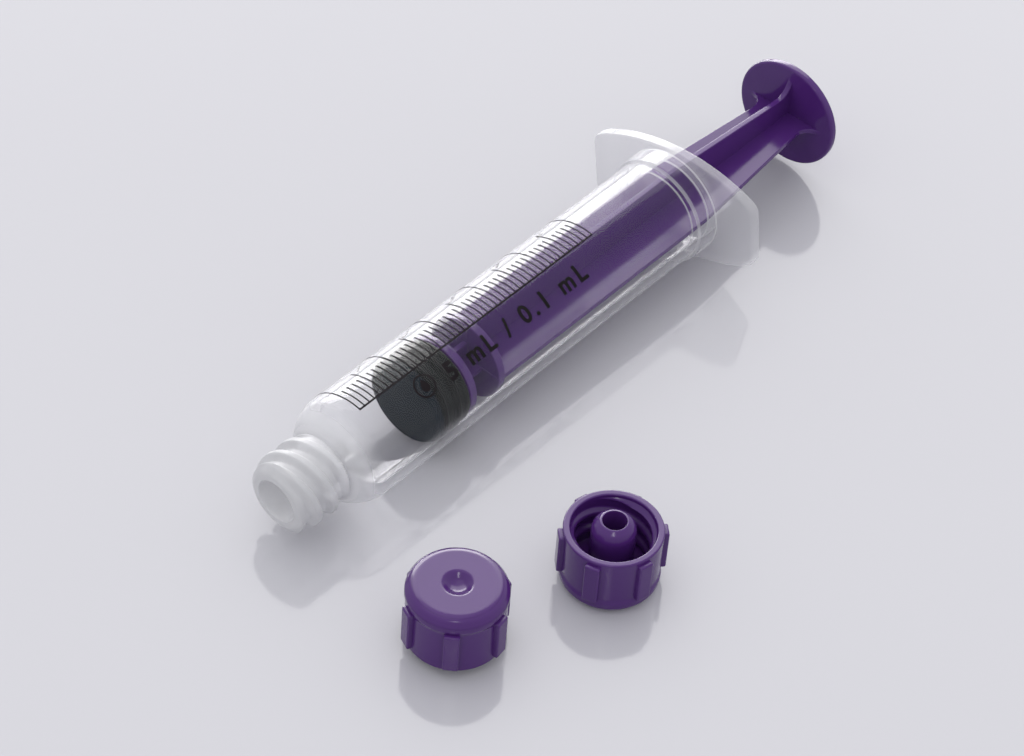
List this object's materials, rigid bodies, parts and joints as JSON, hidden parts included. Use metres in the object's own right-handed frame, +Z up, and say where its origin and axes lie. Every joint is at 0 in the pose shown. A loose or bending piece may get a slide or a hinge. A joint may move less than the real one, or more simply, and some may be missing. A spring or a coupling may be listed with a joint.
{
  "type": "oral syringe",
  "caption": "Clear oral and enteral syringe with a threaded tip, winged finger flange and ribbed plunger, beside its screw tip caps.",
  "frame": {"origin": "on the table, under the middle of the bounding box of the syringe and its two caps", "axes": "+X along the syringe from tip to thumb disc, +Z up; the syringe's own axis rises 0.97 degrees towards +X"},
  "size_m": [0.0998, 0.0524, 0.0164],
  "materials": {
    "clear_barrel": "clear moulded polypropylene, milky where it is thick",
    "purple_rod": "glossy moulded",
    "black_rubber": "smooth, lubricated",
    "purple_cap": "satin moulded"
  },
  "bodies": {
    "barrel": {"barrel": "clear_barrel"},
    "plunger": {"plunger_rod": "purple_rod", "stopper": "black_rubber"},
    "cap_mouth_up": {"tip_cap_mouth_up": "purple_cap"},
    "cap_mouth_down": {"tip_cap_mouth_down": "purple_cap"}
  },
  "joints": [
    {"name": "plunger_slide", "type": "slide", "parent": "barrel", "child": "plunger", "axis": [0.9999, 0, 0.0169], "range_m": [-0.0087, 0.034]},
    {"name": "cap_mouth_up_lift", "type": "slide", "parent": "barrel", "child": "cap_mouth_up", "axis": [0, 0, 1], "range_m": [0, 0.05]},
    {"name": "cap_mouth_down_lift", "type": "slide", "parent": "barrel", "child": "cap_mouth_down", "axis": [0, 0, 1], "range_m": [0, 0.05]}
  ]
}
